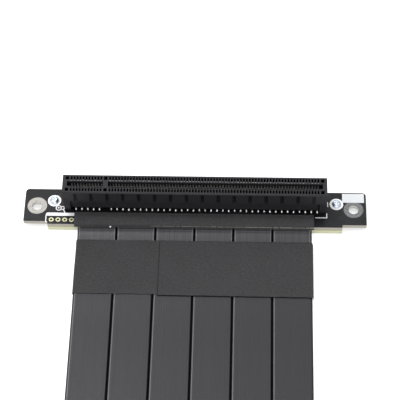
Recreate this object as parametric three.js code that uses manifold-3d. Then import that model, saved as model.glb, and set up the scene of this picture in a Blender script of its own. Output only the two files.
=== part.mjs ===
import * as THREE from 'three';
import { mergeGeometries, mergeVertices } from 'three/addons/utils/BufferGeometryUtils.js';
import Module from 'manifold-3d';

// A riser cable for a graphics card: a 16-lane card socket on a board, six flat ribbons, and an
// edge-card plug. Millimetres. X runs along the socket, Y points away from the cable, Z is up.
// The origin is on the table, under the middle of the socket end.

const wasm = await Module();
wasm.setup();

// Card edge that the socket takes and that the plug has: contacts on both sides of a key notch
const contactPitch = 1;
const contactsShort = 11;
const contactsLong = 71;
const keyToContact = 1.5;
const cardBeyondContact = 1.1;
const cardNotch = 1.9;

// Socket housing, heights above the socket board
const housingBeyondCard = 1.9;
const housingWidth = 7.5;
const housingHeight = 11.25;
const rimChamfer = 0.25;
const upperWallHeight = 5.2;
const lowerBodyWidth = 5.2;
const standoff = 0.9;
const pierLength = 2.1;
const pierWidth = 6.9;
const pierInset = 0.2;
const pegRadius = 1.175;
const pegBeyondContact = 1.65;
const pegDepth = 1.4;
const slotWidth = 1.9;
const slotFloor = 3.1;
const slotEndClearance = 0.4;
const keyRib = 1.7;
const railThickness = 0.25;
const railHeight = 1.1;
const cavityWidth = 0.62;
const cavityOuterWall = 0.77;
const cavityInnerFloor = 4.2;
const cavityOuterFloor = 6.8;
const pocketWidth = 1.15;
const pocketFloor = 8;
const pocketOffset = 1.45;
const pocketInnerWall = 0.75;
const grooveCount = 16;
const grooveInset = 1.45;
const grooveWidth = 1.1;
const grooveDepth = 0.55;
const grooveTopBand = 0.45;

// Stamped contacts: each blade bows out of its cavity into the slot. Every second tail leans out
// from under the housing to the board, and its neighbours' tails stay hidden under the housing.
const contactWidth = 0.42;
const contactThickness = 0.22;
const contactBowGap = 1.3;
const contactBowHeight = 7.4;
const contactTipY = 1.56;
const contactTipDrop = 0.15;
const contactRootY = 1.6;
const contactRootDepth = 0.4;
const tailWidth = 0.5;
const tailThickness = 0.42;
const tailRootY = 2.15;
const tailOuterRow = 2.8;

// Boards. Distances in Y run from the socket's centre line.
const boardThickness = 1.6;
const backingThickness = 1.6;
const socketBoardBeyondHousing = 13.7;
const socketBoardBack = 5.3;
const socketBoardFront = 8.95;
const earFront = 7.9;
const backingBeyondHousing = 5.5;
const backingReach = 0.25;
const boardCorner = 1.2;
const stepCorner = 0.4;
const mountHoleFromEnd = 4.35;
const mountHoleRadius = 1.75;
const mountHoleFront = 1.6;
const powerHoleCount = 4;
const powerHolePitch = 2.3;
const powerHoleFromEnd = 1.3;
const powerHoleFront = 7.17;
const powerHoleRadius = 0.5;
const pegClearance = 0.1;

// Screws
const screwBeyondHousing = 3.6;
const screwBack = 0.5;
const screwHeadRadius = 1.5;
const screwHeadHeight = 1.1;
const screwHeadRim = 0.4;
const screwHeadFlat = 0.8;
const screwShankRadius = 0.95;
const screwHoleRadius = 1.1;
const screwTipGap = 0.35;
const recessWidth = 0.45;
const recessLength = 1.7;
const recessDepth = 0.6;

// Cloth tape over the solder joints. Reach counts outward from the board's edge, height from its top.
const jointTapeBeyondRibbons = 1.25;
const jointTapeBack = 5.05;
const jointTapeHeight = 0.9;
const jointTapeBackRise = 1.1;
const jointTapeFold = 0.85;
const jointTapeNose = 1.25;
const jointTapeNoseHeight = -0.1;
const jointTapeDrop = 0.5;
const jointTapeLip = 0.3;
const jointTapeEdge = 0.3;

// Ribbons, and the cloth tape wrapped round them
const ribbonCount = 6;
const ribbonPitch = 13.2;
const ribbonWidth = 12.9;
const ribbonThickness = 0.8;
const wrapTapeThickness = 0.2;
const wrapClearance = 0.1;
const wrapLength = 21.5;
const wrapCorner = 0.45;
const wrapFromMouth = 4.15;

// Middle line of every ribbon, as Y and Z, from the socket's tape to the plug's tape
const ribbonRoute = [
  [-7.3, 2.6], [-7.32, 2.2], [-7.43, 1.75], [-7.7, 1.33], [-8.15, 1], [-8.75, 0.8], [-9.65, 0.7],
  [-20, 0.7], [-33, 0.7], [-37, 0.58], [-43, 0.47], [-62, 0.45], [-84, 0.45], [-106.19, 0.45],
  [-128.38, 0.45], [-150.38, 0.45], [-169.38, 0.47], [-175.38, 0.58], [-179.38, 0.7],
  [-192.38, 0.7], [-202.73, 0.7], [-203.63, 0.8], [-204.23, 1], [-204.68, 1.33],
  [-204.95, 1.75], [-205.06, 2.2], [-205.08, 2.6],
];

// Plug
const plugBoardBeyondCard = 4.9;
const plugBoardDepth = 16;
const plugTongueDepth = 8.6;
const plugBackingDepth = 14;
const plugCorner = 1;
const tongueChamfer = 0.8;
const notchDepth = 7.4;
const notchCorner = 0.75;
const bevelLength = 1.3;
const bevelDepth = 0.4;
const plugScrewFromEnd = 3.3;
const plugScrewDepth = 7;
const fingerWidth = 0.7;
const fingerLength = 5.4;
const fingerFromTip = 1.5;
const fingerThickness = 0.08;
const shortFingerLength = 3.4;
const shortFingers = [0, 80];

// Places worked out from the sizes
const boardFloor = backingThickness;
const boardTop = backingThickness + boardThickness;
const slotY = (socketBoardFront + jointTapeNose - socketBoardBack) / 2;
const socketEdgeY = slotY - socketBoardFront;
const shortReach = keyToContact + (contactsShort - 1) * contactPitch + cardBeyondContact;
const longReach = keyToContact + (contactsLong - 1) * contactPitch + cardBeyondContact;
const keyX = (shortReach - longReach) / 2;
const cardLeft = keyX - shortReach;
const cardRight = keyX + longReach;
const pegXs = [keyX, cardRight - cardBeyondContact + pegBeyondContact];
const housingLength = cardRight - cardLeft + 2 * housingBeyondCard;
const backingLength = housingLength + 2 * backingBeyondHousing;
const socketBoardLength = housingLength + 2 * socketBoardBeyondHousing;
const screwX = housingLength / 2 + screwBeyondHousing;
const ribbonsWidth = (ribbonCount - 1) * ribbonPitch + ribbonWidth;
const plugBoardLength = cardRight - cardLeft + 2 * plugBoardBeyondCard;
const plugScrewX = plugBoardLength / 2 - plugScrewFromEnd;
const ribbonEnd = ribbonRoute[ribbonRoute.length - 1];
const plugEdgeY = ribbonEnd[0] - (socketEdgeY - ribbonRoute[0][0]);
const overcut = 0.1;

function contactPlaces() {
  const places = [];
  for (let i = contactsShort - 1; i >= 0; i -= 1) places.push(keyX - keyToContact - i * contactPitch);
  for (let i = 0; i < contactsLong; i += 1) places.push(keyX + keyToContact + i * contactPitch);
  return places;
}

const contactXs = contactPlaces();

// Turns a closed three.js geometry into a solid that can be cut, and back
function solid(geometry) {
  const bare = geometry.clone();
  bare.deleteAttribute('normal');
  bare.deleteAttribute('uv');
  const merged = mergeVertices(bare, 1e-5);
  const mesh = new wasm.Mesh({
    numProp: 3,
    vertProperties: new Float32Array(merged.attributes.position.array),
    triVerts: new Uint32Array(merged.index.array),
  });
  return new wasm.Manifold(mesh);
}

function geometryOf(manifold) {
  const mesh = manifold.getMesh();
  const geometry = new THREE.BufferGeometry();
  geometry.setAttribute('position', new THREE.BufferAttribute(mesh.vertProperties, 3));
  geometry.setIndex(new THREE.BufferAttribute(mesh.triVerts, 1));
  geometry.computeVertexNormals();
  return geometry;
}

function box(x0, x1, y0, y1, z0, z1) {
  const geometry = new THREE.BoxGeometry(x1 - x0, y1 - y0, z1 - z0);
  return geometry.translate((x0 + x1) / 2, (y0 + y1) / 2, (z0 + z1) / 2);
}

function shapeOf(points) {
  return new THREE.Shape(points.map(([a, b]) => new THREE.Vector2(a, b)));
}

// Extrudes a Y-Z outline along X, centred on x
function alongX(points, length, x = 0) {
  const geometry = new THREE.ExtrudeGeometry(shapeOf(points), { depth: length, bevelEnabled: false });
  const turn = new THREE.Matrix4().makeBasis(
    new THREE.Vector3(0, 1, 0), new THREE.Vector3(0, 0, 1), new THREE.Vector3(1, 0, 0));
  return geometry.applyMatrix4(turn).translate(x - length / 2, 0, 0);
}

// Extrudes an X-Z shape towards -Y from y
function towardsCable(shape, length, y) {
  const geometry = new THREE.ExtrudeGeometry(shape, { depth: length, bevelEnabled: false });
  const turn = new THREE.Matrix4().makeBasis(
    new THREE.Vector3(1, 0, 0), new THREE.Vector3(0, 0, 1), new THREE.Vector3(0, -1, 0));
  return geometry.applyMatrix4(turn).translate(0, y, 0);
}

function plate(shape, thickness, z) {
  const geometry = new THREE.ExtrudeGeometry(shape, { depth: thickness, bevelEnabled: false });
  return geometry.translate(0, 0, z);
}

// Points of a polygon whose corners [x, y, radius] are rounded with arcs of a few steps
function rounded(corners, steps = 4) {
  const points = [];
  corners.forEach(([x, y, radius], i) => {
    if (!radius) {
      points.push([x, y]);
      return;
    }
    const before = corners[(i + corners.length - 1) % corners.length];
    const after = corners[(i + 1) % corners.length];
    const corner = new THREE.Vector2(x, y);
    const toBefore = new THREE.Vector2(before[0], before[1]).sub(corner).normalize();
    const toAfter = new THREE.Vector2(after[0], after[1]).sub(corner).normalize();
    const half = Math.acos(toBefore.dot(toAfter)) / 2;
    const middle = toBefore.clone().add(toAfter).normalize();
    const centre = corner.clone().addScaledVector(middle, radius / Math.sin(half));
    const start = corner.clone().addScaledVector(toBefore, radius / Math.tan(half)).sub(centre);
    const turn = Math.sign(start.cross(corner.clone().sub(centre))) * (Math.PI - 2 * half);
    for (let k = 0; k <= steps; k += 1) {
      const p = start.clone().rotateAround(new THREE.Vector2(), (turn * k) / steps).add(centre);
      points.push([p.x, p.y]);
    }
  });
  return points;
}

function circle(x, y, radius, sides) {
  const points = [];
  for (let k = 0; k < sides; k += 1) {
    const angle = (2 * Math.PI * k) / sides;
    points.push([x + radius * Math.cos(angle), y + radius * Math.sin(angle)]);
  }
  return points;
}

function withHoles(outline, holes) {
  const shape = shapeOf(outline);
  holes.forEach((points) => shape.holes.push(shapeOf(points)));
  return shape;
}

// Outline of a band of even thickness that follows a middle line
function band(route, thickness) {
  const left = [];
  const right = [];
  route.forEach(([a, b], i) => {
    const [a0, b0] = route[Math.max(i - 1, 0)];
    const [a1, b1] = route[Math.min(i + 1, route.length - 1)];
    const normal = new THREE.Vector2(b0 - b1, a1 - a0).setLength(thickness / 2);
    left.push([a + normal.x, b + normal.y]);
    right.unshift([a - normal.x, b - normal.y]);
  });
  return left.concat(right);
}

function mirrored(points) {
  return points.map(([y, z]) => [-y, z]);
}

// Socket housing: heights count from the board's top, Y from the socket's centre line
const halfWidth = housingWidth / 2;
const wallFoot = housingHeight - upperWallHeight;

function housingShell() {
  const lower = lowerBodyWidth / 2;
  const shoulder = halfWidth - rimChamfer;
  const wall = alongX([
    [-halfWidth, wallFoot], [halfWidth, wallFoot], [halfWidth, housingHeight - rimChamfer],
    [shoulder, housingHeight], [-shoulder, housingHeight], [-halfWidth, housingHeight - rimChamfer],
  ], housingLength);
  const lowerLength = housingLength - 2 * pierInset;
  const core = box(-lowerLength / 2, lowerLength / 2, -lower, lower, standoff, wallFoot);
  let shell = solid(wall).add(solid(core));
  for (const side of [-1, 1]) {
    const outer = side * (lowerLength / 2);
    const inner = side * (lowerLength / 2 - pierLength);
    const pier = box(Math.min(outer, inner), Math.max(outer, inner), -pierWidth / 2, pierWidth / 2, 0, wallFoot);
    shell = shell.add(solid(pier));
  }
  for (const x of pegXs) {
    const peg = plate(shapeOf(circle(x, 0, pegRadius, 12)), pegDepth + standoff + overcut, -pegDepth);
    shell = shell.add(solid(peg));
  }
  return shell;
}

function cardSlot() {
  const top = housingHeight + overcut;
  const half = slotWidth / 2;
  const short = box(cardLeft - slotEndClearance, keyX - keyRib / 2, -half, half, slotFloor, top);
  const long = box(keyX + keyRib / 2, cardRight + slotEndClearance, -half, half, slotFloor, top);
  return solid(short).add(solid(long));
}

// A contact cavity opens at the top, and below the rail into the card slot
function cavityOutline() {
  const slotSide = slotWidth / 2 - overcut;
  const railSide = slotWidth / 2 + railThickness;
  const wallSide = halfWidth - cavityOuterWall;
  const railFoot = housingHeight - railHeight;
  const top = housingHeight + overcut;
  return [
    [slotSide, cavityInnerFloor], [wallSide, cavityOuterFloor], [wallSide, top],
    [railSide, top], [railSide, railFoot], [slotSide, railFoot],
  ];
}

function pocketOutline() {
  const inner = slotWidth / 2 + pocketInnerWall;
  const outer = halfWidth - cavityOuterWall;
  const top = housingHeight + overcut;
  return [[inner, pocketFloor], [outer, pocketFloor], [outer, top], [inner, top]];
}

// One outline repeated at each place along the socket, on both sides of its centre line
function bothRows(outline, width, places) {
  const pieces = [];
  for (const points of [outline, mirrored(outline)]) {
    for (const x of places) pieces.push(alongX(points, width, x));
  }
  return solid(mergeGeometries(pieces));
}

function wallGrooves() {
  const outline = [
    [halfWidth - grooveDepth, wallFoot - overcut], [halfWidth + overcut, wallFoot - overcut],
    [halfWidth + overcut, housingHeight - grooveTopBand],
    [halfWidth - grooveDepth, housingHeight - grooveTopBand],
  ];
  const first = contactXs[0] + grooveInset;
  const last = contactXs[contactXs.length - 1] - grooveInset;
  const places = [];
  for (let i = 0; i < grooveCount; i += 1) {
    places.push(THREE.MathUtils.lerp(first, last, i / (grooveCount - 1)));
  }
  return bothRows(outline, grooveWidth, places);
}

function contactBlades() {
  const floorSlope = (cavityOuterFloor - cavityInnerFloor)
    / (halfWidth - cavityOuterWall - slotWidth / 2 + overcut);
  const floor = cavityInnerFloor + floorSlope * (contactRootY - slotWidth / 2 + overcut);
  const blade = band([
    [contactRootY, floor - contactRootDepth],
    [(contactBowGap + contactThickness) / 2, contactBowHeight],
    [contactTipY, housingHeight - contactTipDrop],
  ], contactThickness);
  return bothRows(blade, contactWidth, contactXs);
}

function outerTails() {
  const half = tailThickness / 2;
  const root = standoff + overcut;
  const tail = [
    [tailRootY - half, root], [tailRootY + half, root],
    [tailOuterRow + half, 0], [tailOuterRow - half, 0],
  ];
  return bothRows(tail, tailWidth, contactXs.filter((x, i) => i % 2 === 1));
}

function slotHousing() {
  const pockets = [contactXs[0] - pocketOffset, keyX, contactXs[contactXs.length - 1] + pocketOffset];
  const body = housingShell()
    .subtract(cardSlot())
    .subtract(bothRows(cavityOutline(), cavityWidth, contactXs))
    .subtract(bothRows(pocketOutline(), pocketWidth, pockets))
    .subtract(wallGrooves())
    .add(contactBlades())
    .add(outerTails());
  return geometryOf(body).translate(0, slotY, boardTop);
}

function socketBoard() {
  const ear = socketBoardLength / 2;
  const middle = backingLength / 2;
  const back = slotY + socketBoardBack;
  const earY = slotY - earFront;
  const outline = rounded([
    [ear, back, boardCorner], [-ear, back, boardCorner], [-ear, earY, stepCorner],
    [-middle, earY, 0], [-middle, socketEdgeY, stepCorner], [middle, socketEdgeY, stepCorner],
    [middle, earY, 0], [ear, earY, stepCorner],
  ]);
  const holes = [];
  for (const side of [-1, 1]) {
    holes.push(circle(side * (ear - mountHoleFromEnd), slotY - mountHoleFront, mountHoleRadius, 24));
    holes.push(circle(side * screwX, slotY + screwBack, screwHoleRadius, 12));
  }
  for (const x of pegXs) {
    holes.push(circle(x, slotY, pegRadius + pegClearance, 12));
  }
  for (let i = 0; i < powerHoleCount; i += 1) {
    const x = powerHoleFromEnd - middle + i * powerHolePitch;
    holes.push(circle(x, slotY - powerHoleFront, powerHoleRadius, 10));
  }
  return plate(withHoles(outline, holes), boardThickness, boardFloor);
}

function socketBackingBoard() {
  const half = backingLength / 2;
  const back = slotY + socketBoardBack;
  const front = socketEdgeY - backingReach;
  const outline = rounded([
    [half, back, stepCorner], [-half, back, stepCorner],
    [-half, front, stepCorner], [half, front, stepCorner],
  ]);
  const holes = [-1, 1].map((side) => (
    circle(side * screwX, slotY + screwBack, screwHoleRadius, 12)));
  return plate(withHoles(outline, holes), backingThickness, 0);
}

// Pan head screw with a cross recess: its head rests on the board, its tip ends in the backing board
function screw(x, y) {
  const profile = [
    [0, screwTipGap - boardTop], [screwShankRadius, screwTipGap - boardTop], [screwShankRadius, 0],
    [screwHeadRadius, 0], [screwHeadRadius, screwHeadRim],
    [(screwHeadRadius + screwHeadFlat) / 2, (screwHeadRim + 2 * screwHeadHeight) / 3],
    [screwHeadFlat, screwHeadHeight], [0, screwHeadHeight],
  ];
  const points = profile.map(([r, z]) => new THREE.Vector2(r, z));
  const turned = new THREE.LatheGeometry(points, 16).rotateX(Math.PI / 2);
  const floor = screwHeadHeight - recessDepth;
  const arm = recessLength / 2;
  const half = recessWidth / 2;
  const across = box(-arm, arm, -half, half, floor, screwHeadHeight + overcut);
  const along = box(-half, half, -arm, arm, floor, screwHeadHeight + overcut);
  const cut = solid(turned).subtract(solid(across)).subtract(solid(along));
  return geometryOf(cut).translate(x, y, boardTop);
}

// Cloth tape over the joints: it lies on the board, and folds over the board's edge to a mouth
// from which the ribbons leave. Direction is -1 where the cable runs to -Y, and 1 where it runs to +Y.
function jointTape(edgeY, direction) {
  const outline = rounded([
    [-jointTapeBack, 0, 0], [-jointTapeBack, jointTapeEdge, jointTapeEdge / 2],
    [jointTapeBackRise - jointTapeBack, jointTapeHeight, jointTapeHeight],
    [jointTapeFold, jointTapeHeight, jointTapeHeight / 2],
    [jointTapeNose, jointTapeNoseHeight, jointTapeEdge / 2],
    [jointTapeNose, -jointTapeDrop, 0], [jointTapeLip, -jointTapeDrop, 0], [jointTapeLip, 0, 0],
  ], 3);
  const placed = outline.map(([reach, height]) => [edgeY + direction * reach, boardTop + height]);
  return alongX(placed, ribbonsWidth + 2 * jointTapeBeyondRibbons);
}

function ribbon(index) {
  const x = (index - (ribbonCount - 1) / 2) * ribbonPitch;
  return alongX(band(ribbonRoute, ribbonThickness), ribbonWidth, x);
}

// Sleeve of tape round the ribbons, from y towards the cable's far end
function wrapTape(y) {
  const innerHalf = ribbonsWidth / 2 + wrapClearance;
  const innerFloor = wrapTapeThickness;
  const innerTop = innerFloor + ribbonThickness + 2 * wrapClearance;
  const outerHalf = innerHalf + wrapTapeThickness;
  const outerTop = innerTop + wrapTapeThickness;
  const outer = rounded([
    [-outerHalf, 0, wrapCorner], [outerHalf, 0, wrapCorner],
    [outerHalf, outerTop, wrapCorner], [-outerHalf, outerTop, wrapCorner],
  ], 3);
  const inner = [
    [-innerHalf, innerFloor], [innerHalf, innerFloor], [innerHalf, innerTop], [-innerHalf, innerTop],
  ];
  return towardsCable(withHoles(outer, [inner]), wrapLength, y);
}

// Contact fingers on both faces of the tongue. Those that report a card's presence are shorter.
function goldFingers(tip) {
  const fingers = [];
  contactXs.forEach((x, i) => {
    const length = shortFingers.includes(i) ? shortFingerLength : fingerLength;
    const y = tip + fingerFromTip + fingerLength;
    const half = fingerWidth / 2;
    fingers.push(box(x - half, x + half, y - length, y, boardTop - overcut, boardTop + fingerThickness));
    fingers.push(box(x - half, x + half, y - length, y, boardFloor - fingerThickness, boardFloor + overcut));
  });
  return solid(mergeGeometries(fingers));
}

function plugBoard() {
  const body = plugBoardLength / 2;
  const root = plugEdgeY - plugBoardDepth;
  const tip = root - plugTongueDepth;
  const notchRoot = tip + notchDepth;
  const outline = rounded([
    [body, plugEdgeY, plugCorner], [-body, plugEdgeY, plugCorner], [-body, root, plugCorner],
    [cardLeft, root, 0], [cardLeft, tip + tongueChamfer, 0], [cardLeft + tongueChamfer, tip, 0],
    [keyX - cardNotch / 2, tip, 0], [keyX - cardNotch / 2, notchRoot, notchCorner],
    [keyX + cardNotch / 2, notchRoot, notchCorner], [keyX + cardNotch / 2, tip, 0],
    [cardRight - tongueChamfer, tip, 0], [cardRight, tip + tongueChamfer, 0],
    [cardRight, root, 0], [body, root, plugCorner],
  ]);
  const holes = [-1, 1].map((side) => (
    circle(side * plugScrewX, plugEdgeY - plugScrewDepth, screwHoleRadius, 12)));
  let board = solid(plate(withHoles(outline, holes), boardThickness, boardFloor));
  for (const [face, away] of [[boardTop, 1], [boardFloor, -1]]) {
    const wedge = alongX([
      [tip + bevelLength, face + away * overcut], [tip + bevelLength, face],
      [tip, face - away * bevelDepth], [tip - overcut, face - away * bevelDepth],
      [tip - overcut, face + away * overcut],
    ], plugBoardLength);
    board = board.subtract(solid(wedge));
  }
  return geometryOf(board.add(goldFingers(tip)));
}

function plugBackingBoard() {
  const half = plugBoardLength / 2;
  const near = plugEdgeY + backingReach;
  const far = plugEdgeY - plugBackingDepth;
  const outline = rounded([
    [half, near, stepCorner], [-half, near, stepCorner],
    [-half, far, stepCorner], [half, far, stepCorner],
  ]);
  const holes = [-1, 1].map((side) => (
    circle(side * plugScrewX, plugEdgeY - plugScrewDepth, screwHoleRadius, 12)));
  return plate(withHoles(outline, holes), backingThickness, 0);
}

const blackNylon = new THREE.MeshStandardMaterial({ color: 0x1b1c1e, roughness: 0.55 });
const solderMask = new THREE.MeshStandardMaterial({ color: 0x1a1c1e, roughness: 0.4 });
const bareGlassFibre = new THREE.MeshStandardMaterial({ color: 0xcfcfa2, roughness: 0.6 });
const zinc = new THREE.MeshStandardMaterial({ color: 0xb9c2cc, roughness: 0.3, metalness: 1 });
const clothTape = new THREE.MeshStandardMaterial({ color: 0x232325, roughness: 0.9 });
const ribbonJacket = new THREE.MeshStandardMaterial({ color: 0x48484b, roughness: 0.5 });

const part = new THREE.Group();

function place(name, geometry, material) {
  const mesh = new THREE.Mesh(geometry, material.clone());
  mesh.name = name;
  part.add(mesh);
}

place('slot_housing', slotHousing(), blackNylon);
place('socket_board', socketBoard(), solderMask);
place('socket_backing_board', socketBackingBoard(), bareGlassFibre);
place('socket_screw_left', screw(-screwX, slotY + screwBack), zinc);
place('socket_screw_right', screw(screwX, slotY + screwBack), zinc);
place('socket_joint_tape', jointTape(socketEdgeY, -1), clothTape);
for (let i = 0; i < ribbonCount; i += 1) place(`ribbon_${i + 1}`, ribbon(i), ribbonJacket);
place('socket_wrap_tape', wrapTape(ribbonRoute[0][0] - wrapFromMouth), clothTape);
place('plug_wrap_tape', wrapTape(ribbonEnd[0] + wrapFromMouth + wrapLength), clothTape);
place('plug_joint_tape', jointTape(plugEdgeY, 1), clothTape);
place('plug_board', plugBoard(), solderMask);
place('plug_backing_board', plugBackingBoard(), bareGlassFibre);
place('plug_screw_left', screw(-plugScrewX, plugEdgeY - plugScrewDepth), zinc);
place('plug_screw_right', screw(plugScrewX, plugEdgeY - plugScrewDepth), zinc);

export default part;
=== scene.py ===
import math
import random

import bmesh
import bpy
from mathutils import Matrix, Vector, noise


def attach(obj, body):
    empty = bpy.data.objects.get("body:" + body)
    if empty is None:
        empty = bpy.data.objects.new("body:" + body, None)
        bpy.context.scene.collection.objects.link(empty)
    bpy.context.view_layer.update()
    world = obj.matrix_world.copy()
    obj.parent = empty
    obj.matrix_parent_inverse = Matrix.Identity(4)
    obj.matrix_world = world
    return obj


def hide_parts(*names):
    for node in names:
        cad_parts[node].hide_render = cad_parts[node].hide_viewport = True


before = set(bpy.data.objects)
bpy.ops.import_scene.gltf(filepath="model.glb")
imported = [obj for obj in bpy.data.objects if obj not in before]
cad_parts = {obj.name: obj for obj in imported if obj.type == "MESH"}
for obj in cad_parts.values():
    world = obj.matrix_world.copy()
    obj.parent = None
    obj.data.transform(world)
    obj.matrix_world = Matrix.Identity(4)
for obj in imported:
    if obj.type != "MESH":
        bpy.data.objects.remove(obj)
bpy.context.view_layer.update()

# Lengths are in mm up to makePiece and makeRow. The camera, the floor and the lamps are in metres.
mm = 0.001
slotY = 2.45  # middle line of the socket
boardTop = 3.2
boardFloor = 1.6
contactRow = {"firstX": -41.5, "count": 82, "pitch": 1.0, "beforeKey": 11, "keyGap": 2.0}

cameraView = {
    "location": (0.017206, -0.315927, 0.478324),
    "turn": (33.9797, 0.8708, 1.4993),
    "lens": 150.996,
}


def makeCamera(view):
    data = bpy.data.cameras.new("photoCamera")
    data.lens = view["lens"]
    data.sensor_width = 36
    data.clip_start = 0.01
    data.clip_end = 20
    camera = bpy.data.objects.new("photoCamera", data)
    camera.location = view["location"]
    camera.rotation_euler = [math.radians(a) for a in view["turn"]]
    bpy.context.collection.objects.link(camera)
    bpy.context.scene.camera = camera


makeCamera(cameraView)
print("camera placed")


def addNode(tree, kind, settings=None, **inputs):
    node = tree.nodes.new(kind)
    for key, value in (settings or {}).items():
        setattr(node, key, value)
    for key, value in inputs.items():
        socket = node.inputs[int(key[1:])] if key[1:].isdigit() else node.inputs[key.replace("_", " ")]
        if isinstance(value, bpy.types.NodeSocket):
            tree.links.new(value, socket)
        else:
            socket.default_value = value
    return node


def mathNode(tree, operation, a, b=0.0):
    return addNode(tree, "ShaderNodeMath", {"operation": operation}, i0=a, i1=b).outputs[0]


def millimetres(tree, stretch=(1, 1, 1)):
    place = addNode(tree, "ShaderNodeTexCoord").outputs["Object"]
    scale = [1000 * s for s in stretch]
    return addNode(tree, "ShaderNodeMapping", Vector=place, Scale=scale).outputs[0]


def speckle(tree, where, scale, detail=3.0, rough=0.5):
    return addNode(tree, "ShaderNodeTexNoise", Vector=where, Scale=scale, Detail=detail,
                   Roughness=rough).outputs[0]


def ramp(tree, factor, stops):
    node = addNode(tree, "ShaderNodeValToRGB", Fac=factor)
    band = node.color_ramp
    while len(band.elements) < len(stops):
        band.elements.new(0.5)
    for element, (at, colour) in zip(band.elements, stops):
        element.position = at
        value = colour if hasattr(colour, "__len__") else (colour, colour, colour)
        element.color = (*value, 1)
    return node.outputs[0]


def mixColours(tree, factor, a, b):
    node = addNode(tree, "ShaderNodeMix", {"data_type": "RGBA"})
    for socket, value in ((node.inputs[0], factor), (node.inputs[6], a), (node.inputs[7], b)):
        if isinstance(value, bpy.types.NodeSocket):
            tree.links.new(value, socket)
        else:
            socket.default_value = (*value, 1) if hasattr(value, "__len__") else value
    return node.outputs[2]


def bump(tree, height, depth, strength=1.0):
    return addNode(tree, "ShaderNodeBump", Height=height, Distance=depth * mm,
                   Strength=strength).outputs[0]


def newMaterial(name, **fixed):
    material = bpy.data.materials.new(name)
    material.use_nodes = True
    tree = material.node_tree
    shader = tree.nodes["Principled BSDF"]
    for key, value in fixed.items():
        socket = shader.inputs[key.replace("_", " ")]
        socket.default_value = (*value, 1) if hasattr(value, "__len__") else value
    return material, tree, shader


def wire(tree, shader, **links):
    for key, value in links.items():
        tree.links.new(value, shader.inputs[key.replace("_", " ")])


# 1 on faces that look up or down, 0 on upright walls.
def levelFaces(tree):
    normal = addNode(tree, "ShaderNodeNewGeometry").outputs["True Normal"]
    upright = addNode(tree, "ShaderNodeSeparateXYZ", Vector=normal).outputs[2]
    return ramp(tree, mathNode(tree, "ABSOLUTE", upright), [(0.45, 0), (0.6, 1)])


def waves(tree, where, direction, scale, distortion, detail):
    return addNode(tree, "ShaderNodeTexWave", {"bands_direction": direction}, Vector=where, Scale=scale,
                   Distortion=distortion, Detail=detail).outputs[1]


# 1 for rays that show a surface to the camera or in a reflection, 0 for rays that light the object.
def shownDirectly(tree):
    rays = addNode(tree, "ShaderNodeLightPath").outputs
    return mathNode(tree, "MAXIMUM", rays["Is Camera Ray"],
                    mathNode(tree, "MAXIMUM", rays["Is Glossy Ray"], rays["Is Transmission Ray"]))


finish = {
    "nylon": (0.019, 0.019, 0.0215), "nylonWorn": (0.026, 0.026, 0.029),
    "nylonShade": (0.003, 0.003, 0.0035),
    "mask": (0.006, 0.0064, 0.0075), "maskCopper": (0.010, 0.0107, 0.0122),
    "boardEdge": (0.50, 0.475, 0.42), "boardEdgeDark": (0.30, 0.28, 0.23),
    "bare": (0.68, 0.69, 0.47), "bareDark": (0.54, 0.55, 0.35),
    "cloth": (0.0165, 0.0165, 0.0175), "clothThread": (0.046, 0.0455, 0.048),
    "clothEdgeHighlight": (0.022, 0.022, 0.0225),
    "ribbon": (0.004, 0.004, 0.0056), "ribbonStreak": (0.029, 0.0285, 0.0335),
    "ribbonPaintedHighlight": (0.07, 0.07, 0.076), "ribbonEdge": (0.004, 0.004, 0.0045),
    "zinc": (0.62, 0.68, 0.77), "tin": (0.72, 0.71, 0.69),
    "agedTin": (0.34, 0.327, 0.308), "dullTin": (0.17, 0.173, 0.18), "fluxTin": (0.50, 0.49, 0.33),
    "litHoleWall": (0.80, 0.79, 0.75), "contact": (0.60, 0.59, 0.57), "contactShade": (0.085, 0.083, 0.078),
    "gold": (0.86, 0.63, 0.25), "ink": (0.90, 0.90, 0.92), "paper": (0.66, 0.68, 0.70),
    "glue": (0.20, 0.195, 0.165), "lint": (0.3, 0.3, 0.28),
}


def nylonMaterial():
    material, tree, shader = newMaterial("mouldedNylon", Specular_IOR_Level=0.13)
    where = millimetres(tree)
    cloudy = speckle(tree, where, 0.35, 4)
    grain = speckle(tree, where, 9, 2)
    flow = speckle(tree, millimetres(tree, (0.12, 1, 2.5)), 1.2, 3)
    base = mixColours(tree, cloudy, finish["nylon"], finish["nylonWorn"])
    # Painted shade: the base colour darkens towards the nylon's shade colour in grooves, cavities and
    # corners, by ambient occlusion.
    occlusionShade = addNode(tree, "ShaderNodeAmbientOcclusion", {"samples": 8}, Distance=1.5 * mm).outputs["AO"]
    base = mixColours(tree, ramp(tree, occlusionShade, [(0.55, 0), (0.95, 1)]), finish["nylonShade"], base)
    wire(tree, shader, Base_Color=base, Roughness=ramp(tree, flow, [(0.3, 0.36), (0.75, 0.52)]),
         Normal=bump(tree, mathNode(tree, "MULTIPLY_ADD", grain, 0.6), 0.02, 0.5))
    return material


def maskMaterial():
    material, tree, shader = newMaterial("solderMask", Specular_IOR_Level=0.22)
    where = millimetres(tree)
    pour = ramp(tree, speckle(tree, where, 0.16, 1.5), [(0.47, 0), (0.5, 1)])
    lacquer = mixColours(tree, pour, finish["mask"], finish["maskCopper"])
    layers = waves(tree, where, "Z", 1.6, 1.2, 2.0)
    fibres = mixColours(tree, mathNode(tree, "MULTIPLY", layers, 0.45), finish["boardEdge"],
                        finish["boardEdgeDark"])
    flat = levelFaces(tree)
    base = mixColours(tree, flat, fibres, lacquer)
    peel = speckle(tree, where, 2.2, 2)
    height = mathNode(tree, "ADD", mathNode(tree, "MULTIPLY", pour, 0.6), peel)
    wire(tree, shader, Base_Color=base,
         Roughness=ramp(tree, flat, [(0, 0.75), (1, 0.30)]), Normal=bump(tree, height, 0.03, 0.35))
    return material


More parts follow.
